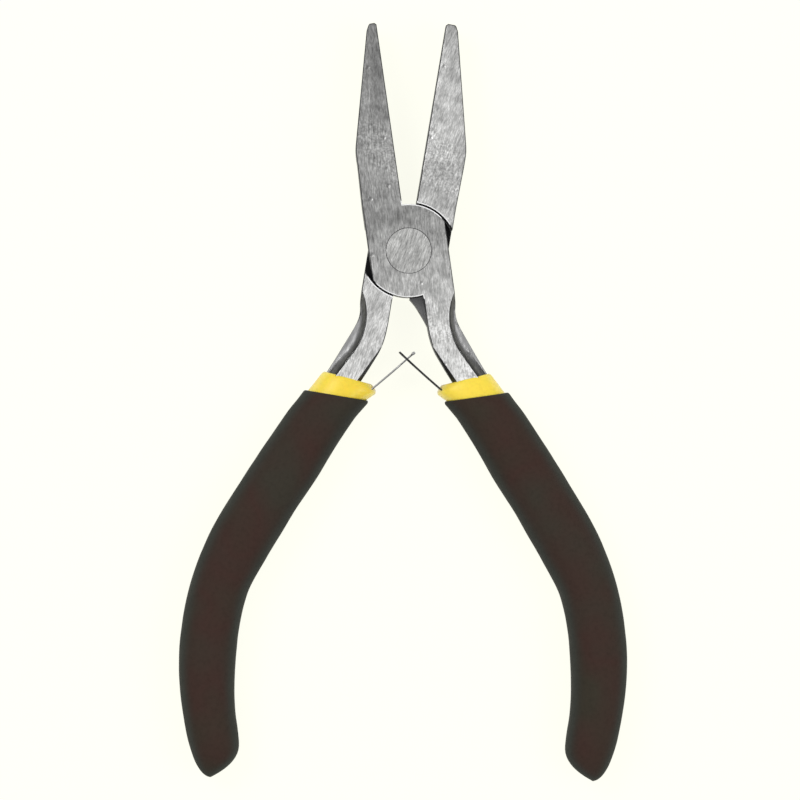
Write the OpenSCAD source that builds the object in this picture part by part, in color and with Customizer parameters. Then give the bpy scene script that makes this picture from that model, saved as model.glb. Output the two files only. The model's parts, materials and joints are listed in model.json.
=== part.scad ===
// Flat nose pliers with a flush riveted lap joint, two crossing leaf springs and double-dipped grips.
//
// The origin is on the rivet's axis, at the joint's flat rear face. +Y points to the jaw tips and +Z out
// of the front face. Each half is drawn in the closed position, where the jaws meet on the plane X = 0,
// and is then turned about the rivet by half of the opening angle.
// The front half has the left jaw, the front cheek and the right tang. The rear half is the same shape
// turned over about the Y axis.

/* [Opening] */
// Angle between the jaws when the springs are relaxed, degrees
open_angle = 17.4; // [10:0.1:22]

/* [Joint] */
// Thickness of the pliers at the rivet
joint_t = 8.4; // [7.5:0.1:9.5]
// Width of the closed head
head_w = 12.9; // [12:0.1:14]
// Radius of the round cheek that each half lays over the other
cheek_r = 7.57; // [7:0.05:8]
// Gap between a cheek's rim and the other half's shoulder
shoulder_gap = 0.27; // [0.2:0.01:0.4]
// Gap between the two cheeks
layer_gap = 0.06; // [0.04:0.01:0.2]
// Radius of the rivet's shank
rivet_r = 2.25; // [1.8:0.05:2.6]
// Radius of the rivet's flush heads
rivet_head_r = 3.7; // [3.2:0.05:4.2]
// Depth of each rivet head
rivet_head_t = 1.6; // [1.2:0.1:2]
// Radial clearance of the rivet in the rear half
rivet_clearance = 0.04; // [0.02:0.01:0.08]

/* [Jaws] */
// Distance from the rivet to the jaw tips
jaw_len = 37.5; // [34:0.5:42]
// Thickness of the jaws at the tip
jaw_tip_t = 4.2; // [3.5:0.1:5]
// Width of the left jaw at the tip, before its corner is rounded
left_tip_w = 1.45; // [1.3:0.05:2.2]
// Width of the right jaw at the tip, which is ground a little wider
right_tip_w = 1.85; // [1.3:0.05:2.2]
// Height above the rivet where the jaws start to narrow
jaw_shoulder_y = 17.3; // [15:0.1:19]
// How far the right jaw's shoulder stands out past the head's side
right_shoulder_out = 0.24; // [-0.3:0.02:0.3]
// The same for the left jaw, whose shoulder is ground back
left_shoulder_out = -0.16; // [-0.3:0.02:0.3]
// Half of the gap between the gripping faces in the closed position
face_gap = 0.03; // [0.01:0.01:0.05]

/* [Tangs] */
// Half thickness of a tang where it enters the grip
tang_neck_half_t = 2.9; // [2.6:0.1:3.2]
// Half thickness of a tang at its end inside the grip
tang_end_half_t = 2.2; // [1.8:0.1:2.4]
// Half width of a tang at its end inside the grip
tang_end_half_w = 2.1; // [1.6:0.1:2.3]
// Radius of the hollow along a tang's outer edges
cove_r = 1.5; // [1.2:0.1:1.8]

/* [Leaf springs] */
// Thickness of the spring leaf
leaf_t = 0.28; // [0.25:0.01:0.4]
// Width of the spring leaf
leaf_w = 4; // [3.4:0.1:4.6]
// Length of the free blade, from the collar to its end
blade_len = 8.7; // [8.4:0.1:9]
// Direction of the free blade at rest in the closed position, degrees from +X
blade_angle = 130.6; // [128:0.2:132]
// Width of the left blade's tongue
tongue_w = 1.6; // [1.3:0.1:1.8]
// Width of the right blade's slot
slot_w = 2.2; // [2:0.1:2.4]
// Length of the cross bar that ends each blade
bar_len = 0.65; // [0.5:0.05:0.7]
// Radius of the rivet that holds a leaf to its tang
leaf_rivet_r = 0.75; // [0.6:0.05:0.9]

/* [Grips] */
// Half width of the outer grip over its upper half
grip_half_w = 5.02; // [4.8:0.02:5.3]
// Half thickness of the outer grip
grip_half_t = 4.5; // [4.3:0.05:4.7]
// Wall of the black outer layer
outer_wall = 0.72; // [0.6:0.02:0.85]
// Distance along the grip's centre line to its rounded end
grip_len = 68; // [67:0.1:69]

/* [Hidden] */
$fn = 64;

mid = joint_t / 2;
half_head = head_w / 2;
shoulder_r = cheek_r + shoulder_gap;
fit_gap = 0.02;                 // play between pieces that are fastened together
steel = "#a9aaa8";
spring_steel = "#8d8f8e";
collar_yellow = "#f4dd3a";
grip_black = "#2e2a27";

// ---- Curves ----

// Catmull-Rom curve through a list of points, with n steps between each pair
function curve_at(a, b, c, d, t) =
    0.5 * (2 * b + (c - a) * t + (2 * a - 5 * b + 4 * c - d) * t * t
           + (3 * b - a - 3 * c + d) * t * t * t);
function curve(p, n) =
    let (last = len(p) - 1)
    [for (i = [0:last - 1]) for (k = [0:n - 1])
        curve_at(p[max(i - 1, 0)], p[i], p[i + 1], p[min(i + 2, last)], k / n),
     p[last]];
function arc(centre, r, from, to, n) =
    [for (k = [0:n]) centre + r * [cos(from + (to - from) * k / n), sin(from + (to - from) * k / n)]];
function smooth(t) = let (u = max(0, min(1, t))) u * u * (3 - 2 * u);
function reversed(list) = [for (i = [len(list) - 1:-1:0]) list[i]];

// The centre line of a handle starts inside the collar and runs down to the end of the grip. Each
// stretch is [length, heading at its start, heading at its end], with headings measured from -Y
// towards +X, so a stretch whose heading changes is a circular arc.
handle_start = [7.64, -25];
handle_runs = [[24.9, 24.7, 24.7], [17.4, 24.7, 0.2], [17.3, 0.2, -18], [9, -18, -2]];
function ahead(h) = [sin(h), -cos(h)];
function outward(h) = [cos(h), sin(h)];
function run_heading(run, s) = run[1] + (run[2] - run[1]) * s / run[0];
function run_step(run, s) =
    let (turn = (run[2] - run[1]) / run[0])
    abs(turn) < 0.001 ? s * ahead(run[1])
    : 180 / PI / turn * (outward(run[1]) - outward(run_heading(run, s)));
function handle_at(s, i = 0) =
    s <= handle_runs[i][0] || i == len(handle_runs) - 1 ? run_step(handle_runs[i], s)
    : run_step(handle_runs[i], handle_runs[i][0]) + handle_at(s - handle_runs[i][0], i + 1);
function heading_at(s, i = 0) =
    s <= handle_runs[i][0] || i == len(handle_runs) - 1 ? run_heading(handle_runs[i], max(s, 0))
    : heading_at(s - handle_runs[i][0], i + 1);
// The point at distance s along the handle and w outward from its centre line
function beside(s, w) = handle_start + handle_at(s) + w * outward(heading_at(s));

// ---- Placing ----

// Turns a part of the front half, drawn closed, into its place at rest
module on_front_half() { rotate([0, 0, open_angle / 2]) children(); }
// The same for the rear half, which is the front half's shape turned over about Y
module on_rear_half() {
    rotate([0, 0, -open_angle / 2]) translate([0, 0, joint_t]) rotate([0, 180, 0]) children();
}
module mirrored_in_thickness() {
    children();
    translate([0, 0, joint_t]) mirror([0, 0, 1]) children();
}

// ---- The two steel halves ----

neck_y = -22;                   // where the tangs enter the collars
taper_y = 8.5;                  // the head keeps its full thickness to this far from the rivet
tang_end_s = 57;                // how far the tang reaches along the handle's centre line
tang_inner_w = 2.25;            // the tang's inner edge from the handle's centre line, near the collar
tang_outer_w = 3.4;             // its outer edge, near the collar
neck_slope = atan((mid - tang_neck_half_t) / (-neck_y - taper_y));

// A jaw as the front half has it, on the left, drawn from the rivet's level upward
module jaw_plan(tip_w, shoulder_out) {
    tip = [-face_gap - tip_w, jaw_len];
    shoulder = [-half_head - shoulder_out, jaw_shoulder_y];
    slope = (tip - shoulder) / norm(tip - shoulder);
    head_side = [-half_head, 8];
    polygon(concat(
        [[-face_gap, 0], [-face_gap, jaw_len - 0.3], [-face_gap - 0.3, jaw_len]],
        [tip + [0.38, -0.02], tip + [0.15, -0.22], tip - slope],
        curve([shoulder + 2.4 * slope, shoulder + [0.08, 0], shoulder - [-0.04, 2.6]], 5),
        [head_side, [-half_head, 0]]));
}

// Right tang, drawn from the rivet's level down to its end inside the grip
function tang_taper(s, top) = top + (tang_end_half_w - top) * smooth((s - 4) / 30);
module tang_plan() {
    inside_s = [4, 9, 14, 19, 24, 30, 36, 42, 48, 53];
    inner_top = [[0.8, -5.6], [1.3, -7.7], [1.36, -10], [1.36, -12.5], [1.52, -14.8], [1.95, -16.8],
                 [2.6, -18.5], [3.3, -20.2], [4.1, -22], [5, -23.9]];
    outer_top = [[6.45, -7.4], [6.36, -9.4], [6.12, -11], [6.26, -12.5], [6.87, -14.3], [7.93, -16.9],
                 [8.9, -19.3], [9.85, -21.5], [10.85, -23.8]];
    end_angle = heading_at(tang_end_s);
    outer_edge = concat(outer_top, [for (s = inside_s) beside(s, tang_taper(s, tang_outer_w))]);
    inner_edge = concat(inner_top, [for (s = inside_s) beside(s, -tang_taper(s, tang_inner_w))]);
    polygon(concat([[half_head, 0]],
                   curve(outer_edge, 4),
                   arc(beside(tang_end_s - 2, 0), tang_end_half_w, end_angle, end_angle - 180, 10),
                   curve(reversed(inner_edge), 4),
                   [[0.4, 0]]));
}

// Web between the right tang and the front cheek, which stands beside the rear cheek
web_lip = 0.5;                  // how far the web reaches up into the front layer
module web_plan() {
    polygon(concat([[2.5, -7], [-0.88, -7]],
                   curve([[-0.88, -7.8], [-0.14, -8.97], [0.5, -10.4], [1, -11.6], [1.38, -12.7]], 4),
                   [[2.5, -12.7]]));
}

// Side view of a half: level over the head, tapered to the jaw tip and to the end of the tang
module side_view() {
    upper = [[jaw_len + 1, jaw_tip_t / 2], [jaw_len, jaw_tip_t / 2], [taper_y, mid], [-taper_y, mid],
             [neck_y, tang_neck_half_t], [-86, tang_end_half_t]];
    translate([-30, 0, mid]) rotate([90, 0, 90]) linear_extrude(60)
        polygon(concat(upper, reversed([for (p = upper) [p.x, -p.y]])));
}

// Turns a cutter drawn on a level face into the slope of the tang's front face
module on_tang_face() {
    translate([0, -taper_y, joint_t]) rotate([neck_slope, 0, 0]) translate([0, taper_y, 0]) children();
}

// Cutter for the hollow along the tang's outer front edge: an arc round the neck, then a straight
module cove_cutter() {
    centre = [15.2, -13];
    bend_r = 10.2 - cove_r;
    end_angle = 28;
    straight = 20;
    on_tang_face() {
        translate([centre.x, centre.y, 0]) {
            translate([0, 0, -cove_r]) cylinder(r = bend_r, h = 4);
            rotate_extrude() translate([bend_r, 0]) circle(r = cove_r);
        }
        start = centre - bend_r * outward(end_angle);
        translate([start.x, start.y, 0]) rotate([0, 0, end_angle]) {
            rotate([90, 0, 0]) cylinder(r = cove_r, h = straight);
            translate([0, -straight, -cove_r]) cube([6, straight, 4]);
        }
    }
}

// Cutter for the bevel on the tang's inner front edge, which starts below the neck and gets wider
module inner_bevel_cutter() {
    on_tang_face() translate([1.72, -15.9, 0]) rotate([0, -56, 26.2])
        translate([-4, -10, 0]) cube([4, 10, 3]);
}

// The full thickness outside the joint, with the cheek over the front of it
module half_blank(tip_w, shoulder_out, with_web) {
    linear_extrude(joint_t) difference() {
        union() { jaw_plan(tip_w, shoulder_out); tang_plan(); }
        circle(r = shoulder_r);
    }
    if (with_web) {
        linear_extrude(mid + web_lip) difference() { web_plan(); circle(r = shoulder_r); }
        translate([0, 0, mid + layer_gap / 2]) linear_extrude(web_lip - layer_gap / 2) web_plan();
    }
    translate([0, 0, mid + layer_gap / 2]) linear_extrude(mid - layer_gap / 2) {
        jaw_plan(tip_w, shoulder_out);
        tang_plan();
        intersection() { circle(r = cheek_r); square([head_w, 3 * head_w], center = true); }
    }
}

module half(tip_w, shoulder_out, with_web) {
    difference() {
        intersection() { half_blank(tip_w, shoulder_out, with_web); side_view(); }
        mirrored_in_thickness() { cove_cutter(); inner_bevel_cutter(); }
        leaf_rivet_bore();
        translate([0, 0, mid]) cylinder(r = rivet_r + rivet_clearance, h = joint_t);
        translate([0, 0, joint_t - rivet_head_t - fit_gap])
            cylinder(r = rivet_head_r + fit_gap, h = joint_t);
    }
}

module front_half() { color(steel) on_front_half() half(left_tip_w, left_shoulder_out, true); }
module rear_half() { color(steel) on_rear_half() half(right_tip_w, right_shoulder_out, false); }

// ---- The joint rivet ----

module joint_rivet() {
    color(steel) {
        cylinder(r = rivet_head_r, h = rivet_head_t);
        cylinder(r = rivet_r, h = joint_t);
        translate([0, 0, joint_t - rivet_head_t]) cylinder(r = rivet_head_r, h = rivet_head_t);
    }
}

// ---- The leaf springs ----

// A leaf lies along the tang inside the grip, bends away from it and leaves through the collar at
// leaf_exit. From there on it is the free blade.
leaf_exit = [1.85, -22.72];
clamp_h = heading_at(0);
clamp_w = -tang_inner_w - leaf_t / 2 - fit_gap;      // leaf's middle from the handle's centre line
bend_turn = blade_angle - 90 - clamp_h;              // angle that the leaf turns between clamp and exit
clamp_len = 6;
// The bend starts where the chord from leaf_exit meets the clamped stretch's line
chord = -[cos(blade_angle - bend_turn / 2), sin(blade_angle - bend_turn / 2)];
to_line = handle_start + clamp_w * outward(clamp_h) - leaf_exit;
bend_chord = cross(to_line, ahead(clamp_h)) / cross(chord, ahead(clamp_h));
bend_r = bend_chord / 2 / sin(bend_turn / 2);
bend_start = leaf_exit + bend_chord * chord;
foot_gap = 0.2;                                      // foot's end from the line where the blade flexes

// A leaf's clamped foot, made wider and thicker by grow when it is used as a cutter
module foot_shape(grow = 0) {
    t = leaf_t + 2 * grow;
    w = leaf_w + 2 * grow;
    centre = bend_start - bend_r * outward(clamp_h);
    last = clamp_h + bend_turn - foot_gap / bend_r * 180 / PI;
    clamp_end = bend_start + (clamp_len + grow) * ahead(clamp_h);
    translate([0, 0, mid - w / 2]) linear_extrude(w)
        polygon(concat([clamp_end + t / 2 * outward(clamp_h)],
                       arc(centre, bend_r + t / 2, clamp_h, last, 12),
                       arc(centre, bend_r - t / 2, last, clamp_h, 12),
                       [clamp_end - t / 2 * outward(clamp_h)]));
}

module at_leaf_rivet() {
    translate([bend_start.x, bend_start.y, mid]) rotate([0, 0, clamp_h])
        translate([0, -clamp_len / 2, 0]) rotate([0, 90, 0]) children();
}
module leaf_rivet_bore() {
    at_leaf_rivet() cylinder(r = leaf_rivet_r + fit_gap, h = 30, center = true, $fn = 32);
}
module leaf_rivet_shape(grow = 0) {
    head_t = 0.45;
    at_leaf_rivet() translate([0, 0, -leaf_t / 2 - head_t]) {
        translate([0, 0, -grow]) cylinder(r = 1.35 + grow, h = head_t + grow - fit_gap, $fn = 32);
        cylinder(r = leaf_rivet_r, h = head_t + leaf_t + 5.3, $fn = 32);
    }
}
module spring_foot() { difference() { foot_shape(); leaf_rivet_bore(); } }

cross_at = 5.6;                 // where a blade's slot or tongue starts, from the exit
// A free blade: the right one has a slot near its end, and the left one a tongue with a cross bar
module spring_blade(slotted) {
    open_len = blade_len - cross_at - bar_len;
    bar_w = 0.76 * leaf_w;
    translate([leaf_exit.x, leaf_exit.y, mid]) rotate([0, 0, blade_angle]) {
        cylinder(r = leaf_t / 2, h = leaf_w, center = true, $fn = 24);
        translate([0, -leaf_t / 2, 0]) {
            translate([0, 0, -leaf_w / 2]) difference() {
                cube([slotted ? blade_len : cross_at, leaf_t, leaf_w]);
                if (slotted) translate([cross_at, -1, (leaf_w - slot_w) / 2]) cube([open_len, 2, slot_w]);
            }
            if (!slotted) {
                translate([0, 0, -tongue_w / 2]) cube([blade_len, leaf_t, tongue_w]);
                translate([blade_len - bar_len, 0, -bar_w / 2]) cube([bar_len, leaf_t, bar_w]);
            }
        }
    }
}

module right_spring_foot() { color(spring_steel) on_front_half() spring_foot(); }
module left_spring_foot() { color(spring_steel) on_rear_half() spring_foot(); }
module right_spring_blade() { color(spring_steel) on_front_half() spring_blade(true); }
module left_spring_blade() { color(spring_steel) on_rear_half() spring_blade(false); }
module right_spring_rivet() { color(spring_steel) on_front_half() leaf_rivet_shape(); }
module left_spring_rivet() { color(spring_steel) on_rear_half() leaf_rivet_shape(); }

// ---- The dipped layers ----

// A layer is a stack of oval rings, each [s, skew, inner width, outer width, half thickness]. A ring's
// inner edge lies at s - skew along the handle and its outer edge at s + skew, so the rings near the
// collar are level in the closed position, as the dip left them.
ring_points = 32;
oval_power = 0.88;
function oval(v) = sign(v) * pow(abs(v), oval_power);
function ring(r) =
    let (a = beside(r[0] - r[1], -r[2]), b = beside(r[0] + r[1], r[3]), c = (a + b) / 2, e = (b - a) / 2)
    [for (k = [0:ring_points - 1])
        let (t = 360 * k / ring_points)
        [c.x + e.x * oval(cos(t)), c.y + e.y * oval(cos(t)), mid + r[4] * oval(sin(t))]];

level_skew = 2.1;
function skew_at(s) = level_skew * (1 - smooth(s / 9));
// How far the black layer reaches outward and inward from the centre line. Its inner side is pressed in
// a little below the collar and stands out at the bend, and both sides draw in towards the end.
function outer_reach(s) =
    grip_half_w + 0.18 - 0.32 * (1 - smooth(s / 7)) - 0.45 * smooth((s - 12) / 28)
    - 0.8 * smooth((s - 44) / 23);
function inner_reach(s) =
    grip_half_w - 0.12 - 0.36 * smooth(s / 3.5) * (1 - smooth((s - 6) / 9)) + 0.28 * smooth((s - 18) / 9)
    - 0.56 * smooth((s - 29) / 8) - 0.35 * smooth((s - 46) / 14);
function half_thickness(s) = grip_half_t - 0.15 * (1 - smooth(s / 4)) - 0.35 * smooth((s - 30) / 30);
// The end is rounded on its outer side, and runs straighter to the tip on its inner side
cap_start = 60;
inner_cap_start = 62.5;
tip_w = 0.2;                    // the tip's distance outward from the centre line
function part_way(s, from, to) = max(0, min(1, (s - from) / (to - from)));
function layer_ring(s, inset) =
    let (len = grip_len - inset,
         round = sqrt(1 - pow(part_way(s, cap_start, len), 2)),
         u = part_way(s, inner_cap_start, len),
         shift = tip_w * smooth(u))
    [s, skew_at(s), cos(90 * pow(u, 1.2)) * (inner_reach(s) - inset) - shift,
     round * (outer_reach(s) - inset - shift) + shift, round * (half_thickness(s) - inset)];
body_s = [1.6, 3.6, 6, 9, 14, 19.5, 25, 29, 33, 37, 41, 45, 49, 53, 56.5, cap_start];
// A layer's rings from below the collar to near the tip, widened by slack
function layer_rings(inset, slack = 0) =
    let (span = grip_len - inset - cap_start)
    [for (s = concat(body_s, [for (k = [0.2, 0.38, 0.55, 0.72, 0.86, 0.96]) cap_start + k * span]))
        layer_ring(s, inset - slack)];

// The collar has a rolled edge that stands out on its inner side, where the leaf leaves it
collar_rings = [[-3.3, 1.25, 3.85, 3.78, 3], [-3.15, 1.28, 4.2, 3.96, 3.18], [-2.75, 1.38, 4.9, 4.06, 3.36],
                [-2.05, 1.55, 5.05, 4.12, 3.5], [-1.2, 1.85, 4.85, 4.2, 3.62],
                [0, level_skew, 4.5, 4.33, 3.74]];
sleeve_rings = concat(collar_rings, layer_rings(outer_wall));
grip_top_s = 0.12;
grip_outer_rings = concat([[grip_top_s, level_skew, 4.74, 4.72, 4.1],
                           [grip_top_s + 0.28, level_skew - 0.02, 4.9, 4.86, 4.28]],
                          layer_rings(0));
grip_inner_rings = concat([[grip_top_s, level_skew, 4.51, 4.35, 3.76]],
                          layer_rings(outer_wall, fit_gap));

// Faces between ring i and ring i + 1 of a stack, seen from outside
function band_faces(count, first, flip) =
    [for (i = [0:count - 2]) for (k = [0:ring_points - 1])
        let (a = first + i * ring_points + k, b = first + i * ring_points + (k + 1) % ring_points,
             c = b + ring_points, d = a + ring_points)
        for (f = [[a, b, c], [a, c, d]]) flip ? reversed(f) : f];
function end_faces(first, tip, flip) =
    [for (k = [0:ring_points - 1])
        let (a = first + k, b = first + (k + 1) % ring_points) flip ? [tip, b, a] : [a, b, tip]];
function flat(lists) = [for (l = lists) for (p = l) p];
function tip_point(inset) = let (p = beside(grip_len - inset, tip_w)) [p.x, p.y, mid];

// A closed solid from a stack of rings, with a level top and a rounded end
module dipped_solid(rings, inset) {
    n = len(rings);
    points = concat(flat([for (r = rings) ring(r)]), [tip_point(inset)]);
    faces = concat([reversed([for (k = [0:ring_points - 1]) k])],
                   band_faces(n, 0, false),
                   end_faces((n - 1) * ring_points, n * ring_points, false));
    polyhedron(points, faces, convexity = 6);
}

// A shell between two stacks of rings that share a level top rim
module dipped_shell(outer, inner, wall) {
    n = len(outer);
    m = len(inner);
    second = n * ring_points;
    tips = (n + m) * ring_points;
    points = concat(flat([for (r = outer) ring(r)]), flat([for (r = inner) ring(r)]),
                    [tip_point(0), tip_point(wall)]);
    rim = flat([for (a = [0:ring_points - 1])
        let (b = (a + 1) % ring_points) [[b, a, second + a], [b, second + a, second + b]]]);
    faces = concat(rim,
                   band_faces(n, 0, false),
                   end_faces((n - 1) * ring_points, tips, false),
                   band_faces(m, second, true),
                   end_faces(second + (m - 1) * ring_points, tips + 1, true));
    polyhedron(points, faces, convexity = 8);
}

// The yellow first layer, formed round the tang, the spring's foot and its rivet
module inner_sleeve() {
    difference() {
        dipped_solid(sleeve_rings, outer_wall);
        tang_core();
        foot_shape(fit_gap);
        leaf_rivet_shape(fit_gap);
        exit_slit();
    }
}
// Room round the line where the blade flexes
module exit_slit() {
    translate([leaf_exit.x, leaf_exit.y, mid]) cylinder(r = 0.42, h = leaf_w + 0.6, center = true, $fn = 32);
}
module tang_core() {
    difference() {
        intersection() { linear_extrude(joint_t) tang_plan(); side_view(); }
        mirrored_in_thickness() { cove_cutter(); inner_bevel_cutter(); }
    }
}
module outer_grip() { dipped_shell(grip_outer_rings, grip_inner_rings, outer_wall - fit_gap); }

module right_inner_sleeve() { color(collar_yellow) on_front_half() inner_sleeve(); }
module left_inner_sleeve() { color(collar_yellow) on_rear_half() inner_sleeve(); }
module right_grip() { color(grip_black) on_front_half() outer_grip(); }
module left_grip() { color(grip_black) on_rear_half() outer_grip(); }

front_half();
rear_half();
joint_rivet();
right_spring_foot();
right_spring_blade();
right_spring_rivet();
left_spring_foot();
left_spring_blade();
left_spring_rivet();
right_inner_sleeve();
left_inner_sleeve();
right_grip();
left_grip();
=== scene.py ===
"""The looks of the flat nose pliers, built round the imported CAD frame.

The steel halves keep the CAD shape and get broken edges. The dipped grips, their yellow first layer and
the leaf springs are lofted here with the CAD's own sizes. Lengths are in millimetres until a mesh is
made, and a part of the right handle is drawn closed, then turned about the rivet to its place at rest.
"""

import json
import math

import bmesh
import bpy
from mathutils import Matrix, Vector, noise


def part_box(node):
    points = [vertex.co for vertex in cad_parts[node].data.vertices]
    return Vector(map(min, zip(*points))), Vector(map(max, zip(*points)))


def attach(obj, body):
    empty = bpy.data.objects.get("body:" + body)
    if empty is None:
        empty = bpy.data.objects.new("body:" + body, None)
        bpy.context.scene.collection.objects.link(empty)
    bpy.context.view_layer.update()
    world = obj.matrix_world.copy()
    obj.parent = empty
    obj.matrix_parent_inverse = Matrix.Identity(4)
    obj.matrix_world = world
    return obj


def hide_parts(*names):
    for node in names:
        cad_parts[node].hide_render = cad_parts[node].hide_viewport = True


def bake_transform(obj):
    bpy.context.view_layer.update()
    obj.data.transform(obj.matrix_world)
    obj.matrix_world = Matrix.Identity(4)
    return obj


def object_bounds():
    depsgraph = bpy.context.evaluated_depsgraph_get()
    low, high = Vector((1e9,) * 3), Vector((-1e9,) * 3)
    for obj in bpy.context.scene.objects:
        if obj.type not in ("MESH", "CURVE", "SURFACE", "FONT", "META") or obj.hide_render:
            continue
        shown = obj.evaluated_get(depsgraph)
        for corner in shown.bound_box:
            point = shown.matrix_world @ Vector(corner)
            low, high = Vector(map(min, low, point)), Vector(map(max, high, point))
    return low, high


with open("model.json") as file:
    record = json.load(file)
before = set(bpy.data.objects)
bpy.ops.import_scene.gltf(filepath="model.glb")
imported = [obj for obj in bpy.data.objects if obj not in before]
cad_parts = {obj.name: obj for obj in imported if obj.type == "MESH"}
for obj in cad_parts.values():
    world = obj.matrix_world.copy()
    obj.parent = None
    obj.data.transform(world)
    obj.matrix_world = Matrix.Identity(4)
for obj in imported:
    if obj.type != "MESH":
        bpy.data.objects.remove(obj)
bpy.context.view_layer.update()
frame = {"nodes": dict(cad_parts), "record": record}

MM = 0.001
MOUNTS = {m["name"]: m for m in frame["record"]["mounts"]}

# ---------------------------------------------------------------- sizes, from the frame where it has them
rivet_low, rivet_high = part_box("joint_rivet")
JOINT_T = (rivet_high.z - rivet_low.z) / MM
MID = JOINT_T / 2
RIVET_R = rivet_high.x / MM
jaw_axis = MOUNTS["left_jaw_face"]["axis"]
HALF_OPEN = math.atan2(jaw_axis[1], jaw_axis[0])

# The handle's centre line: (length, heading at its start, heading at its end) for each stretch, with
# headings from -Y towards +X, in degrees
HANDLE_START = Vector((7.64, -25, 0))
HANDLE_RUNS = ((24.9, 24.7, 24.7), (17.4, 24.7, 0.2), (17.3, 0.2, -18), (9, -18, -2))
GRIP_HALF_W = 5.02
GRIP_HALF_T = 4.5
OUTER_WALL = 0.72
GRIP_LEN = 68.0
CAP_START = 60.0
INNER_CAP_START = 62.5
TIP_W = 0.2
LEVEL_SKEW = 2.1
OVAL_POWER = 0.88

TAPER_Y = 8.5                            # the head keeps its full thickness to this far from the rivet
TANG_SLOPE = 1.3 / 13.5                  # how fast the half thickness falls below the head
JAW_SLOPE = 2.1 / 29                     # and above it

SLEEVE_Y = -27                           # below this the sleeves hide the steel
RING_R = 4.5                             # the dark ring round the rivet lies within this radius,
CHEEK_R = 7.7                            # each cheek within this one
WEB_R = 12.5                             # and the web beside each cheek within this one
HEAD_SIDE_X = 6.1                        # the head's sides lie further out than this
BLUR = 0.2                               # width over which one tone passes into the next

LEAF_T = 0.28
LEAF_W = 4.0
BLADE_LEN = 8.7
BLADE_ANGLE = math.radians(130.6)
TONGUE_W = 1.6
SLOT_W = 2.2
BAR_LEN = 0.65
CROSS_AT = 5.6
LEAF_EXIT = Vector((1.85, -22.72, 0))


# ---------------------------------------------------------------- curves
def smooth(t):
    t = max(0.0, min(1.0, t))
    return t * t * (3 - 2 * t)


def ahead(h):
    return Vector((math.sin(h), -math.cos(h), 0))


def outward(h):
    return Vector((math.cos(h), math.sin(h), 0))


def on_handle(s):
    """Point and heading at distance s along the handle's centre line."""
    point = HANDLE_START.copy()
    for i, (length, first, last) in enumerate(HANDLE_RUNS):
        h0, h1 = math.radians(first), math.radians(last)
        here = s if i == len(HANDLE_RUNS) - 1 else min(s, length)
        turn = (h1 - h0) / length
        h = h0 + turn * max(here, 0)
        if abs(turn) < 1e-6:
            point += here * ahead(h0)
        else:
            point += (outward(h0) - outward(h)) / turn
        s -= length
        if s <= 0:
            break
    return point, h


def beside(s, w):
    point, h = on_handle(s)
    return point + w * outward(h)


def catmull(a, b, c, d, t):
    return 0.5 * (2 * b + (c - a) * t + (2 * a - 5 * b + 4 * c - d) * t * t
                  + (3 * b - a - 3 * c + d) * t ** 3)


def refine(rows, steps):
    """A smooth run of rows through the given ones, with that many steps between each pair."""
    out = []
    for i in range(len(rows) - 1):
        near = [rows[max(i - 1, 0)], rows[i], rows[i + 1], rows[min(i + 2, len(rows) - 1)]]
        for k in range(steps):
            out.append([catmull(*values, k / steps) for values in zip(*near)])
    return out + [list(rows[-1])]


# ---------------------------------------------------------------- placing
def at_rest(side):
    """Takes a part of the closed right handle, in mm, to its place at rest, in metres.

    The left handle is the right one turned over about Y.
    """
    if side == "right":
        return Matrix.Scale(MM, 4) @ Matrix.Rotation(HALF_OPEN, 4, "Z")
    over = Matrix.Translation((0, 0, JOINT_T)) @ Matrix.Rotation(math.pi, 4, "Y")
    return Matrix.Scale(MM, 4) @ Matrix.Rotation(-HALF_OPEN, 4, "Z") @ over


def make_object(name, bm, side=None):
    mesh = bpy.data.meshes.new(name)
    bmesh.ops.recalc_face_normals(bm, faces=bm.faces)
    bm.to_mesh(mesh)
    bm.free()
    if side:
        mesh.transform(at_rest(side))
    mesh.polygons.foreach_set("use_smooth", [True] * len(mesh.polygons))
    obj = bpy.data.objects.new(name, mesh)
    bpy.context.scene.collection.objects.link(obj)
    return obj


def middle(edge):
    return (edge.verts[0].co + edge.verts[1].co) / 2


def is_outline(edge):
    """An edge between a flat face and a wall, in sight and not between the cheeks."""
    at = middle(edge)
    if len(edge.link_faces) != 2 or at.y < SLEEVE_Y * MM or abs(at.z - MID * MM) < 0.3 * MM:
        return False
    tilts = sorted(abs(f.normal.z) for f in edge.link_faces)
    return tilts[0] < 0.4 and tilts[1] > 0.985


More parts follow.
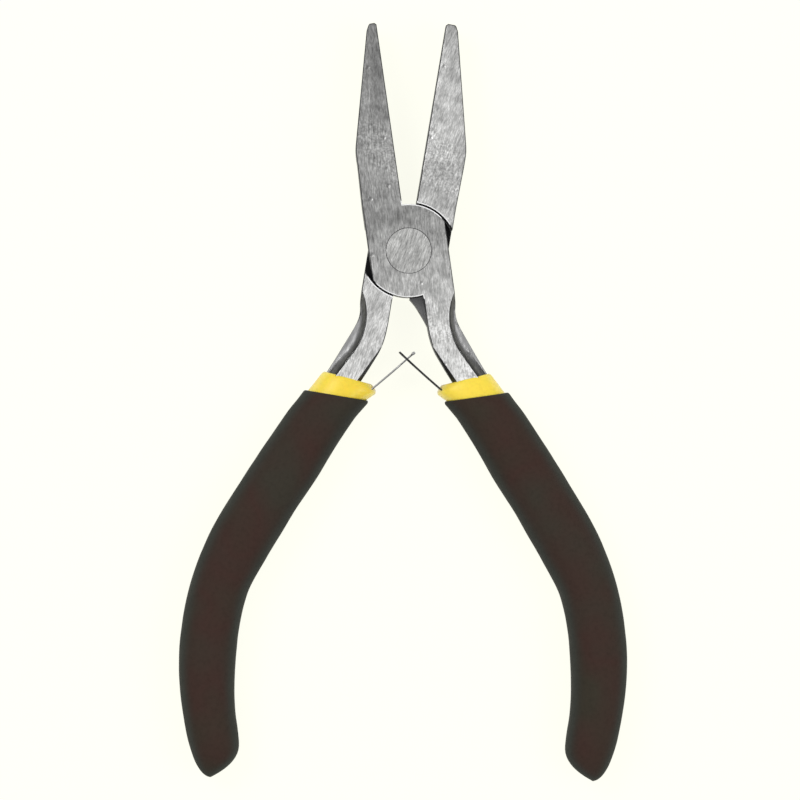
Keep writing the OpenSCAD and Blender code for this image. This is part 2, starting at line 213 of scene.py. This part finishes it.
def steel_from_cad(node, body, edge_width, ring_width):
    """The CAD piece with its outlines broken by edge_width mm, and by ring_width mm round the rivet.

    The edges down in the hollows are broken by about a third of edge_width.
    """
    bm = bmesh.new()
    bm.from_mesh(frame["nodes"][node].data)
    bmesh.ops.remove_doubles(bm, verts=bm.verts, dist=2e-6)
    bmesh.ops.dissolve_limit(bm, angle_limit=math.radians(0.6), verts=bm.verts, edges=bm.edges,
                             delimit={"NORMAL"})
    bm.normal_update()
    to_closed = Matrix.Rotation(HALF_OPEN if node == "rear_half" else -HALF_OPEN, 3, "Z")
    ring, hollow, ground = [], [], []
    for edge in filter(is_outline, bm.edges):
        y = (to_closed @ middle(edge)).y / MM
        face_half_t = MID - max(0.0, TANG_SLOPE * (-y - TAPER_Y), JAW_SLOPE * (y - TAPER_Y))
        if middle(edge).xy.length < (RIVET_R + 0.3) * MM:
            ring.append(edge)
        elif face_half_t - abs(middle(edge).z / MM - MID) < 0.2:
            ground.append(edge)
        else:
            hollow.append(edge)
    groups = ((ring, ring_width, 2), (hollow, edge_width * 0.35, 2), (ground, edge_width, 3))
    for edges, width, segments in groups:
        kept = [e for e in edges if e.is_valid]
        bmesh.ops.bevel(bm, geom=kept, offset=width * MM, offset_type="OFFSET", segments=segments,
                        profile=0.5, affect="EDGES", clamp_overlap=False, harden_normals=False)
    obj = make_object(node + "_steel", bm)
    obj.data.set_sharp_from_angle(angle=math.radians(50))
    flat = obj.modifiers.new("flat faces", "WEIGHTED_NORMAL")
    flat.keep_sharp = True
    flat.weight = 80
    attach(obj, body)
    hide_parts(node)
    return obj


# ---------------------------------------------------------------- dipped layers
RING_POINTS = 96


def oval(v):
    return math.copysign(abs(v) ** OVAL_POWER, v)


def ring_points(s, skew, w_in, w_out, half_t):
    a, b = beside(s - skew, -w_in), beside(s + skew, w_out)
    c, e = (a + b) / 2, (b - a) / 2
    for k in range(RING_POINTS):
        t = 2 * math.pi * k / RING_POINTS
        x, z = oval(math.cos(t)), oval(math.sin(t))
        yield Vector((c.x + e.x * x, c.y + e.y * x, MID + half_t * z))


def skew_at(s):
    return LEVEL_SKEW * (1 - smooth(s / 9))


def outer_reach(s):
    return (GRIP_HALF_W + 0.18 - 0.32 * (1 - smooth(s / 7)) - 0.45 * smooth((s - 12) / 28)
            - 0.8 * smooth((s - 44) / 23))


def inner_reach(s):
    return (GRIP_HALF_W - 0.12 - 0.36 * smooth(s / 3.5) * (1 - smooth((s - 6) / 9))
            + 0.28 * smooth((s - 18) / 9) - 0.56 * smooth((s - 29) / 8) - 0.35 * smooth((s - 46) / 14))


def half_thickness(s):
    return GRIP_HALF_T - 0.15 * (1 - smooth(s / 4)) - 0.35 * smooth((s - 30) / 30)


def layer_row(s, inset):
    length = GRIP_LEN - inset
    round_off = math.sqrt(1 - max(0.0, min(1.0, (s - CAP_START) / (length - CAP_START))) ** 2)
    u = max(0.0, min(1.0, (s - INNER_CAP_START) / (length - INNER_CAP_START)))
    shift = TIP_W * smooth(u)
    return [s, skew_at(s),
            math.cos(math.pi / 2 * u ** 1.2) * (inner_reach(s) - inset) - shift,
            round_off * (outer_reach(s) - inset - shift) + shift,
            round_off * (half_thickness(s) - inset)]


def layer_rows(start, inset, step=0.75, cap_steps=20):
    """Rows from start to just short of the rounded end."""
    count = int((CAP_START - start) / step)
    rows = [layer_row(start + (CAP_START - start) * i / count, inset) for i in range(count + 1)]
    span = GRIP_LEN - inset - CAP_START
    for i in range(1, cap_steps):
        rows.append(layer_row(CAP_START + span * math.sin(math.pi / 2 * i / cap_steps), inset))
    return rows


def tip_of(inset):
    p = beside(GRIP_LEN - inset, TIP_W)
    return Vector((p.x, p.y, MID))


def add_rings(bm, rows, wobble=0.0):
    """Rings of vertices for the rows, pushed in and out by up to about wobble mm."""
    rings = []
    for row in rows:
        ring = []
        for p in ring_points(*row):
            if wobble:
                low = noise.noise(p * 0.11 + Vector((3.1, 0.7, 5.2)))
                fine = noise.noise(p * 0.45 + Vector((8.3, 2.2, 1.9)))
                centre, _ = on_handle(row[0])
                centre.z = MID
                p = p + (p - centre).normalized() * wobble * (low + 0.35 * fine)
            ring.append(bm.verts.new(p))
        rings.append(ring)
    return rings


def skin(bm, rings):
    for a, b in zip(rings, rings[1:]):
        for k in range(RING_POINTS):
            j = (k + 1) % RING_POINTS
            bm.faces.new((a[k], a[j], b[j], b[k]))


def close_tip(bm, ring, point):
    tip = bm.verts.new(point)
    for k in range(RING_POINTS):
        bm.faces.new((ring[k], ring[(k + 1) % RING_POINTS], tip))


def outer_grip(side):
    """The black outer layer: a shell with a rolled lip where the dip stopped."""
    bm = bmesh.new()
    top = 0.12
    lip = [[top, LEVEL_SKEW, 4.52, 4.38, 3.78], [top - 0.06, LEVEL_SKEW, 4.62, 4.52, 3.92],
           [top - 0.02, LEVEL_SKEW, 4.74, 4.68, 4.08], [top + 0.12, LEVEL_SKEW - 0.01, 4.85, 4.8, 4.2],
           [top + 0.36, LEVEL_SKEW - 0.02, 4.91, 4.87, 4.29], layer_row(0.95, 0), layer_row(1.6, 0)]
    outer_rows = refine(lip, 3) + layer_rows(2.1, 0)
    inner_rows = [[top + 0.3, LEVEL_SKEW - 0.02, 4.5, 4.36, 3.76]] + layer_rows(1.6, OUTER_WALL - 0.02)
    outer = add_rings(bm, outer_rows, wobble=0.07)
    inner = add_rings(bm, inner_rows)
    skin(bm, outer)
    close_tip(bm, outer[-1], tip_of(0))
    skin(bm, inner)
    close_tip(bm, inner[-1], tip_of(OUTER_WALL - 0.02))
    skin(bm, [inner[0], outer[0]])
    obj = make_object(side + "_grip_vinyl", bm, side)
    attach(obj, "front_half" if side == "right" else "rear_half")
    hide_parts(side + "_grip")
    return obj


def inner_sleeve(side):
    """The yellow first layer, which shows as the collar."""
    bm = bmesh.new()
    collar = [[-3.3, 1.25, 3.5, 3.5, 2.75], [-3.34, 1.25, 3.75, 3.7, 2.95], [-3.24, 1.27, 4.02, 3.86, 3.1],
              [-3.05, 1.3, 4.4, 3.98, 3.22], [-2.7, 1.38, 4.86, 4.06, 3.36], [-2.05, 1.55, 5.05, 4.12, 3.5],
              [-1.2, 1.85, 4.85, 4.2, 3.62], [0, LEVEL_SKEW, 4.48, 4.32, 3.74]]
    rows = refine(collar, 4) + layer_rows(1.6, OUTER_WALL, step=2.5)
    rings = add_rings(bm, rows)
    skin(bm, rings)
    close_tip(bm, rings[-1], tip_of(OUTER_WALL))
    dimple = beside(-3.1, 0.4)
    close_tip(bm, list(reversed(rings[0])), Vector((dimple.x, dimple.y, MID)))
    obj = make_object(side + "_sleeve_vinyl", bm, side)
    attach(obj, "front_half" if side == "right" else "rear_half")
    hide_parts(side + "_inner_sleeve")
    return obj


# ---------------------------------------------------------------- leaf springs
def leaf_spring(side):
    """One strip from inside the collar to its slotted or tongued end, bending where it leaves the collar."""
    slotted = side == "right"
    along = Vector((math.cos(BLADE_ANGLE), math.sin(BLADE_ANGLE), 0))
    normal = Vector((-along.y, along.x, 0))
    us = [-2.2 + 0.2 * i for i in range(11)] + [0.2 * i for i in range(1, 28)]
    us += [CROSS_AT, 6.2, 6.8, 7.4, BLADE_LEN - BAR_LEN, 8.2, 8.35, 8.5, 8.6, BLADE_LEN]
    half_w, half_slot, half_tongue, half_bar = LEAF_W / 2, SLOT_W / 2, TONGUE_W / 2, LEAF_W * 0.38
    vs = sorted({-half_w, -half_bar, -half_slot, -half_tongue, 0.0, half_tongue, half_slot, half_bar, half_w})

    def solid(i, j):
        if not (0 <= i < len(us) - 1 and 0 <= j < len(vs) - 1):
            return False
        u, v = (us[i] + us[i + 1]) / 2, (vs[j] + vs[j + 1]) / 2
        if u < CROSS_AT:
            return True
        if slotted:
            return abs(v) > half_slot or u > BLADE_LEN - BAR_LEN
        return abs(v) < half_tongue or (u > BLADE_LEN - BAR_LEN and abs(v) < half_bar)

    def half_thick(u):
        """The left leaf's cross bar is curled over into a bead."""
        if slotted:
            return LEAF_T / 2
        bead = max(0.0, 1 - abs(u - 8.42) / 0.3)
        return LEAF_T / 2 + 0.12 * math.sqrt(bead)

    bm = bmesh.new()
    grid = {}

    def vert(i, j, face):
        if (i, j, face) not in grid:
            u = us[i]
            bow = 0.22 * (max(u, 0) / BLADE_LEN) ** 2 - 0.1 * max(u, 0) / BLADE_LEN
            p = LEAF_EXIT + along * u + normal * (face * half_thick(u) - bow)
            grid[i, j, face] = bm.verts.new((p.x, p.y, MID + vs[j]))
        return grid[i, j, face]

    for i in range(len(us) - 1):
        for j in range(len(vs) - 1):
            if not solid(i, j):
                continue
            for face in (-1, 1):
                bm.faces.new([vert(a, b, face) for a, b in ((i, j), (i + 1, j), (i + 1, j + 1), (i, j + 1))])
            for (di, dj), (a, b) in (((-1, 0), ((i, j), (i, j + 1))), ((1, 0), ((i + 1, j), (i + 1, j + 1))),
                                     ((0, -1), ((i, j), (i + 1, j))), ((0, 1), ((i, j + 1), (i + 1, j + 1)))):
                if not solid(i + di, j + dj):
                    bm.faces.new((vert(*a, -1), vert(*b, -1), vert(*b, 1), vert(*a, 1)))
    obj = make_object(side + "_leaf_spring", bm, side)
    obj.data.set_sharp_from_angle(angle=math.radians(40))
    soft = obj.modifiers.new("edges", "BEVEL")
    soft.width = 0.09 * MM
    soft.segments = 2
    soft.limit_method = "ANGLE"
    soft.angle_limit = math.radians(50)
    turn = at_rest(side)
    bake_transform(obj)
    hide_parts(side + "_spring_blade", side + "_spring_foot")
    return obj


# ---------------------------------------------------------------- materials
class Graph:
    """Adds nodes to a node tree. A method takes sockets or constants, and gives an output socket."""

    def __init__(self, tree):
        self.tree = tree

    def feed(self, socket, value):
        if isinstance(value, bpy.types.NodeSocket):
            self.tree.links.new(value, socket)
        elif socket.type == "RGBA" and len(value) == 3:
            socket.default_value = (*value, 1)
        else:
            socket.default_value = value

    def add(self, kind, **values):
        """A node of that kind, with the inputs and settings named in values."""
        n = self.tree.nodes.new("ShaderNode" + kind)
        for key, value in values.items():
            if key in n.inputs:
                self.feed(n.inputs[key], value)
            else:
                setattr(n, key, value)
        return n

    def maths(self, operation, *values):
        n = self.add("Math", operation=operation)
        for socket, value in zip(n.inputs, values):
            self.feed(socket, value)
        return n.outputs[0]

    def product(self, first, *others):
        for value in others:
            first = self.maths("MULTIPLY", first, value)
        return first

    def inverse(self, value):
        return self.maths("SUBTRACT", 1.0, value)

    def larger(self, a, b):
        return self.maths("MAXIMUM", a, b)

    def step(self, source, low, high, out_low=0.0, out_high=1.0):
        """A smooth step from out_low, where source is low, to out_high, where it is high."""
        n = self.add("MapRange", interpolation_type="SMOOTHSTEP")
        for socket, value in zip(n.inputs[:5], (source, low, high, out_low, out_high)):
            self.feed(socket, value)
        return n.outputs[0]

    def fade(self, source, full, gone, strength=1.0):
        """A smooth step down from strength, where source is full, to 0, where it is gone."""
        return self.step(source, full, gone, strength, 0.0)

    def ramp(self, source, stops):
        """A colour ramp through (position, colour or grey) stops."""
        n = self.add("ValToRGB")
        elements = n.color_ramp.elements
        while len(elements) < len(stops):
            elements.new(0.5)
        for element, (position, colour) in zip(elements, stops):
            element.position = position
            element.color = (*colour, 1) if isinstance(colour, tuple) else (colour, colour, colour, 1)
        self.feed(n.inputs[0], source)
        return n.outputs[0]

    def mix(self, factor, a, b, kind="MIX"):
        n = self.add("Mix", data_type="RGBA", blend_type=kind)
        for socket, value in ((n.inputs[0], factor), (n.inputs[6], a), (n.inputs[7], b)):
            self.feed(socket, value)
        return n.outputs[2]

    def multiply(self, base, colour, factor=1.0):
        return self.mix(factor, base, colour, kind="MULTIPLY")

    def split(self, vector):
        return self.add("SeparateXYZ", Vector=vector).outputs

    def normal(self):
        return self.split(self.add("NewGeometry").outputs["Normal"])

    def level(self):
        """How far the surface faces up or down, from 0 on the walls to 1 on the flat faces."""
        return self.maths("ABSOLUTE", self.normal()["Z"])

    def space(self, angle=0.0):
        """Object coordinates in metres, turned about Z so that Y runs along a part that stands at angle."""
        source = self.add("TexCoord").outputs["Object"]
        return self.add("Mapping", Vector=source, Rotation=(0, 0, -angle)).outputs[0]

    def stretched(self, space, scale):
        return self.add("Mapping", Vector=space, Scale=scale).outputs[0]

    def noise(self, space, scale, detail, roughness):
        return self.add("TexNoise", Vector=space, Scale=scale, Detail=detail, Roughness=roughness).outputs[0]

    def distance(self, space, point=(0, 0, 0), weights=(1, 1, 1)):
        """Distance of the shaded point from a point, in metres, along the axes whose weight is 1."""
        minus = [-p * w for p, w in zip(point, weights)]
        offset = self.tree.nodes.new("ShaderNodeVectorMath")
        offset.operation = "MULTIPLY_ADD"
        for socket, value in zip(offset.inputs, (space, weights, minus)):
            self.feed(socket, value)
        length = self.tree.nodes.new("ShaderNodeVectorMath")
        length.operation = "LENGTH"
        self.feed(length.inputs[0], offset.outputs[0])
        return length.outputs["Value"]


class Material(Graph):
    """A material with one Principled shader."""

    def __init__(self, name):
        self.material = bpy.data.materials.new(name)
        self.material.use_nodes = True
        super().__init__(self.material.node_tree)
        self.tree.nodes.clear()
        output = self.add("OutputMaterial")
        self.shader = self.add("BsdfPrincipled")
        self.feed(output.inputs[0], self.shader.outputs[0])

    def surface(self, values):
        for name, value in values.items():
            self.feed(self.shader.inputs[name], value)

    def bump(self, height, strength, distance):
        n = self.add("Bump", Height=height, Strength=strength, Distance=distance)
        self.surface({"Normal": n.outputs[0]})


# Walls and broken edges: darker unground steel, with painted shade for the dark outlines
WALL_UNGROUND_AND_SHADE_TONE = (0.03, 0.03, 0.032)
PIT_TONE = (0.08, 0.08, 0.08)
# Painted highlight on the broken edges round each cheek
RIM_HIGHLIGHT_TONE = (1.0, 1.0, 1.0)
WEB_TONE = (0.2, 0.2, 0.2)
# The gap between the halves round each cheek, painted near black as shade
GAP_SHADE_TONE = (0.014, 0.014, 0.015)
REACH_BELOW = 30
REACH_ABOVE = 40


def ground_steel(name, angle, tone, streak_angle, along=((0.0, 1.0), (1.0, 1.0)), half=True):
    """Forged steel with ground faces, which have streaks, rough patches and pits, and walls painted near
    black: darker unground steel, and painted shade that draws the dark outlines.

    tone is the ground faces' colour, and along gives its factor from REACH_BELOW mm below the rivet (0) to
    REACH_ABOVE mm above it (1), painted light and shade as well as the steel's own tone. half adds what the
    halves have and the rivet hasn't.
    """
    m = Material(name)
    space = m.space(angle)
    streak_space = m.space(angle + streak_angle)
    streaks = m.noise(m.stretched(streak_space, (4300, 620, 1500)), 1.0, 5.0, 0.6)
    fine = m.noise(m.stretched(streak_space, (11000, 1500, 4000)), 1.0, 3.0, 0.6)
    mottle = m.noise(streak_space, 520.0, 5.0, 0.65)
    cloud = m.noise(streak_space, 95.0, 3.0, 0.5)
    granules = m.noise(streak_space, 2700.0, 2.0, 0.5)
    pits = m.add("TexVoronoi", Vector=streak_space, Scale=430.0, Randomness=1.0)
    chosen = m.ramp(pits.outputs["Color"], [(0.0, 0.0), (0.6, 0.0), (0.66, 1.0)])
    hole = m.ramp(pits.outputs["Distance"], [(0.0, 1.0), (0.08, 0.9), (0.2, 0.0)])
    pit = m.product(chosen, hole)

    shown = (REACH_ABOVE + REACH_BELOW) * MM
    reach = m.maths("MULTIPLY_ADD", m.split(space)["Y"], 1 / shown, REACH_BELOW * MM / shown)
    grain = m.ramp(streaks, [(0.3, 0.45), (0.5, 1.0), (0.72, 1.6)])
    base = m.multiply(tone, m.ramp(reach, along))
    base = m.multiply(base, m.ramp(cloud, [(0.3, 0.82), (0.7, 1.16)]))
    base = m.multiply(base, grain, 0.72)
    base = m.multiply(base, m.ramp(fine, [(0.3, 0.6), (0.7, 1.4)]), 0.9)
    base = m.multiply(base, m.ramp(mottle, [(0.32, 0.72), (0.62, 1.17)]), 0.9)
    rough_patch = m.step(cloud, 0.54, 0.66, 0.0, 0.55)
    base = m.multiply(base, m.ramp(granules, [(0.36, 0.55), (0.5, 1.0), (0.62, 1.5)]), rough_patch)

    level = m.level()
    wall = m.fade(level, 0.89, 0.99)
    shine = m.inverse(wall)
    # Round the rivet the painted shade of the ring is broken up along it
    if half:
        wall = m.product(wall, m.inverse(faint_ring_shade(m, space, cloud)))
    # Walls and broken edges painted near black: darker unground steel, and painted shade that draws the
    # outlines
    base = m.mix(wall, base, WALL_UNGROUND_AND_SHADE_TONE)
    base = m.mix(m.product(pit, 0.6), base, PIT_TONE)
    if half:
        base, hollow = joint_tones(m, base, space, level, grain)
        shine = m.larger(shine, hollow)
    m.surface({"Base Color": base, "Roughness": m.ramp(streaks, [(0.25, 0.5), (0.75, 0.34)]),
               "Metallic": m.product(shine, 0.92), "Specular IOR Level": 0.15})
    height = m.maths("SUBTRACT", m.product(streaks, 0.5), m.product(pit, 3.0))
    height = m.maths("ADD", height, m.product(mottle, 0.6))
    m.bump(height, 0.6, 0.06 * MM)
    return m.material


def faint_ring_shade(m, space, cloud):
    """How far the painted shade of the dark ring round the rivet is left out, which varies along it."""
    near_rivet = m.fade(m.distance(space, weights=(1, 1, 0)), RING_R * MM, (RING_R + 0.5) * MM)
    return m.product(near_rivet, m.fade(cloud, 0.42, 0.58, 0.75))


def joint_tones(m, base, space, level, grain):
    """Painted highlights on the edges round the cheeks, painted shade in the hollows along the tangs, a dark
    web and painted shade in the gap between the halves.

    Gives the new base colour and how far a point is in a hollow.
    """
    at = m.split(space)
    across = m.maths("ABSOLUTE", at["X"])
    from_rivet = m.distance(space, weights=(1, 1, 0))
    from_middle = m.maths("ABSOLUTE", m.maths("SUBTRACT", at["Z"], MID * MM))

    # The broken edges on both sides of the gap round each cheek, painted white: a painted highlight
    rim = m.product(m.step(from_rivet, (CHEEK_R - 0.5) * MM, (CHEEK_R - 0.5 + BLUR) * MM),
                    m.fade(from_rivet, (CHEEK_R + 0.4) * MM, (CHEEK_R + 0.4 + BLUR) * MM),
                    m.step(from_middle, (MID - 0.6) * MM, (MID - 0.3) * MM),
                    m.step(level, 0.2, 0.4),
                    m.fade(across, (HEAD_SIDE_X - 0.3) * MM, HEAD_SIDE_X * MM),
                    m.fade(level, 0.975, 0.995))
    base = m.mix(rim, base, RIM_HIGHLIGHT_TONE)

    # The hollows lie below the ground faces, which slope down on both sides of the head
    tang_drop = m.maths("MULTIPLY_ADD", at["Y"], -TANG_SLOPE, -TAPER_Y * MM * TANG_SLOPE)
    jaw_drop = m.maths("MULTIPLY_ADD", at["Y"], JAW_SLOPE, -TAPER_Y * MM * JAW_SLOPE)
    drop = m.larger(m.larger(tang_drop, jaw_drop), 0.0)
    depth = m.maths("SUBTRACT", m.maths("SUBTRACT", MID * MM, drop), from_middle)
    hollow = m.product(m.step(depth, BLUR * MM, 2 * BLUR * MM), m.step(level, 0.12, 0.3))
    # Painted shade: the hollows are painted dark, darkest where their walls stand steepest
    hollow_shade_tone = m.ramp(level, [(0.15, 0.03), (0.6, 0.13), (0.9, 0.24), (1.0, 0.34)])
    base = m.mix(hollow, base, m.multiply(hollow_shade_tone, grain, 0.6))

    between = m.fade(from_middle, 0.6 * MM, 1.6 * MM)
    flat = m.step(level, 0.8, 0.95)
    web = m.product(between, m.fade(from_rivet, WEB_R * MM, (WEB_R + 2) * MM), flat)
    base = m.mix(web, base, WEB_TONE)
    # Painted shade: the gap round each cheek, between the halves, is painted near black
    inside = m.fade(across, HEAD_SIDE_X * MM, (HEAD_SIDE_X + 0.3) * MM)
    cheek = m.fade(from_rivet, (CHEEK_R - BLUR / 2) * MM, (CHEEK_R + BLUR / 2) * MM)
    gap = m.product(between, cheek, m.larger(flat, inside))
    return m.mix(gap, base, GAP_SHADE_TONE), hollow


def rolled_strip(name, face, upper_edge_highlight, lower_edge_shade):
    """Spring strip seen edge on: a flat cut face between a painted highlight on its upper side and painted
    shade on its lower one.
    """
    m = Material(name)
    # Painted light: the side facing +Y gets the highlight colour, the side facing -Y the shade colour
    edge = m.mix(m.step(m.normal()["Y"], -0.1, 0.25), lower_edge_shade, upper_edge_highlight)
    base = m.mix(m.step(m.level(), 0.75, 0.95), edge, face)
    uneven = m.ramp(m.noise(m.space(), 900.0, 2.0, 0.5), [(0.3, 0.7), (0.7, 1.3)])
    m.surface({"Base Color": m.multiply(base, uneven), "Metallic": 0.3, "Roughness": 0.45,
               "Specular IOR Level": 0.2})
    return m.material


def vinyl(name, colours, side_sheen_colour, roughness, coat, peel_height, grain, specular, subsurface=0.0,
          lit_patch_at=(), lit_patch_colour=(1, 1, 1)):
    """Dipped vinyl: slow colour drift, a painted sheen in a lighter colour towards the sides, a faint orange
    peel and specks.

    peel_height is in mm and grain is how dark the specks are. The last two arguments give points, and a paler
    colour painted round them as a highlight.
    """
    m = Material(name)
    space = m.space()
    drift = m.noise(space, 75.0, 2.0, 0.4)
    peel = m.noise(space, 1500.0, 3.0, 0.55)
    lumps = m.noise(space, 230.0, 2.0, 0.5)
    drifting = m.ramp(drift, list(zip((0.34, 0.52, 0.7), colours)))
    # Painted sheen: the sides are painted in the lighter side colour
    base = m.mix(m.fade(m.level(), 0.5, 0.95), drifting, side_sheen_colour)
    # Painted highlight: the vinyl is painted paler round each given point
    for point in lit_patch_at:
        worn = m.fade(m.distance(space, point), 1 * MM, 3 * MM, 0.8)
        base = m.mix(worn, base, lit_patch_colour)
    base = m.multiply(base, m.ramp(peel, [(0.3, 1 - grain), (0.5, 1.0), (0.72, 1 + grain / 2)]))
    m.surface({"Base Color": base,
               "Roughness": m.ramp(lumps, [(0.3, roughness - 0.05), (0.7, roughness + 0.08)]),
               "Specular IOR Level": specular, "Coat Weight": coat, "Coat Roughness": 0.3,
               "Subsurface Weight": subsurface, "Subsurface Radius": (0.0012, 0.0008, 0.0003),
               "Subsurface Scale": 1.0})
    m.bump(m.maths("ADD", peel, m.product(lumps, 1.5)), 0.5, peel_height * MM)
    return m.material


def paint(obj, mat):
    obj.data.materials.clear()
    obj.data.materials.append(mat)


# ---------------------------------------------------------------- build
front = steel_from_cad("front_half", "front_half", edge_width=0.2, ring_width=0.05)
rear = steel_from_cad("rear_half", "rear_half", edge_width=0.2, ring_width=0.05)
# The two halves' tones and tone stops carry painted light and shade along the steel as well as the steel's
# own tone
paint(front, ground_steel("front_half_steel", HALF_OPEN, (0.58, 0.58, 0.57), math.radians(-4),
                          ((0.0, 1.2), (0.14, 1.16), (0.29, 1.02), (0.37, 0.8), (0.43, 0.69), (0.51, 0.49),
                           (0.58, 0.53), (0.67, 0.5), (0.78, 0.45), (0.9, 0.39))))
paint(rear, ground_steel("rear_half_steel", -HALF_OPEN, (0.62, 0.62, 0.61), math.radians(-10),
                         ((0.0, 1.08), (0.31, 1.02), (0.43, 0.8), (0.55, 0.74), (0.61, 0.58), (0.66, 0.69),
                          (0.73, 0.83), (0.83, 0.92), (0.9, 0.79), (0.95, 0.66))))

rivet = steel_from_cad("joint_rivet", "front_half", edge_width=0.08, ring_width=0.08)
paint(rivet, ground_steel("rivet_steel", HALF_OPEN, (0.46, 0.46, 0.45), math.radians(-28), half=False))

# Each dip's colour after its three is the painted sheen on its sides
black = vinyl("black_dip", ((0.037, 0.032, 0.024), (0.045, 0.025, 0.02), (0.037, 0.031, 0.022)),
              (0.04, 0.042, 0.036), roughness=0.62, coat=0.0, peel_height=0.02, grain=0.1, specular=0.06)
# The yellow is painted paler round the leaf exits, a painted highlight on the collar's inner ends
leaf_exits = [at_rest(side) @ (LEAF_EXIT + Vector((0, 0, MID))) for side in ("left", "right")]
yellow = vinyl("yellow_dip", ((0.86, 0.63, 0.035), (0.92, 0.69, 0.05), (0.95, 0.72, 0.06)),
               (0.97, 0.76, 0.12), roughness=0.36, coat=0.15, peel_height=0.005, grain=0.06, specular=0.4,
               subsurface=0.2, lit_patch_at=leaf_exits, lit_patch_colour=(1.0, 0.84, 0.3))
# Painted light: both leaves are one spring steel, a shaded copy for the right leaf and a lit copy for the
# left
shaded_leaf = rolled_strip("shaded_leaf_steel", (0.03, 0.03, 0.032), (0.12, 0.12, 0.12), (0.008, 0.008, 0.008))
lit_leaf = rolled_strip("lit_leaf_steel", (0.3, 0.3, 0.3), (0.75, 0.75, 0.75), (0.008, 0.008, 0.008))
for side, leaf_steel in (("right", shaded_leaf), ("left", lit_leaf)):
    paint(outer_grip(side), black)
    paint(inner_sleeve(side), yellow)
    paint(leaf_spring(side), leaf_steel)
    paint(frame["nodes"][side + "_spring_rivet"], leaf_steel)

# ---------------------------------------------------------------- stage
FIELD = 130.4 * MM                       # width of the view at the pliers
CAMERA_DISTANCE = 0.8
CAMERA_LEFT = math.radians(1.3)          # the camera stands a little to the left
ROLL = math.radians(0.7)
look_at = Vector((-1.04 * MM, -24.24 * MM, MID * MM))

low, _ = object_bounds()
bpy.ops.mesh.primitive_plane_add(size=3, location=(0, 0, low.z - 0.0001))
floor = bpy.context.object
floor.name = "floor"
paper = Material("floor")
paper.surface({"Base Color": (0.12, 0.12, 0.11), "Roughness": 1.0, "Specular IOR Level": 0.0,
               "Emission Color": (1.0, 1.0, 0.9), "Emission Strength": 0.93})
paint(floor, paper.material)


def area_light(name, location, target, size, power):
    data = bpy.data.lights.new(name, "AREA")
    data.shape = "SQUARE"
    data.size = size
    data.energy = power
    obj = bpy.data.objects.new(name, data)
    obj.location = location
    obj.rotation_mode = "QUATERNION"
    obj.rotation_quaternion = (Vector(target) - Vector(location)).to_track_quat("-Z", "Y")
    bpy.context.scene.collection.objects.link(obj)


centre = (0, -0.02, 0)
area_light("key", (-0.45, 0.35, 0.75), centre, 0.4, 2.5)
area_light("fill", (0.6, -0.1, 0.6), centre, 0.5, 1.5)

world = bpy.data.worlds.new("studio")
bpy.context.scene.world = world
world.use_nodes = True
sky = Graph(world.node_tree)
upward = sky.split(sky.add("TexCoord").outputs["Generated"])["Z"]
glow = sky.ramp(upward, [(0.0, 0.06), (0.2, 0.12), (0.5, 0.7), (0.8, 1.0), (0.94, 0.75), (1.0, 0.7)])
background = world.node_tree.nodes["Background"]
sky.feed(background.inputs["Color"], glow)
sky.feed(background.inputs["Strength"], 1.0)

camera_data = bpy.data.cameras.new("camera")
camera = bpy.data.objects.new("camera", camera_data)
bpy.context.scene.collection.objects.link(camera)
camera_data.sensor_width = 36
camera_data.lens = 36 * CAMERA_DISTANCE / FIELD
camera_data.clip_start = 0.01
camera_data.clip_end = 10
aim = Matrix.Rotation(-CAMERA_LEFT, 4, "Y") @ Matrix.Rotation(ROLL, 4, "Z")
camera.matrix_world = Matrix.Translation(look_at) @ aim @ Matrix.Translation((0, 0, CAMERA_DISTANCE))
bpy.context.scene.camera = camera
bpy.context.scene.view_settings.view_transform = "Standard"
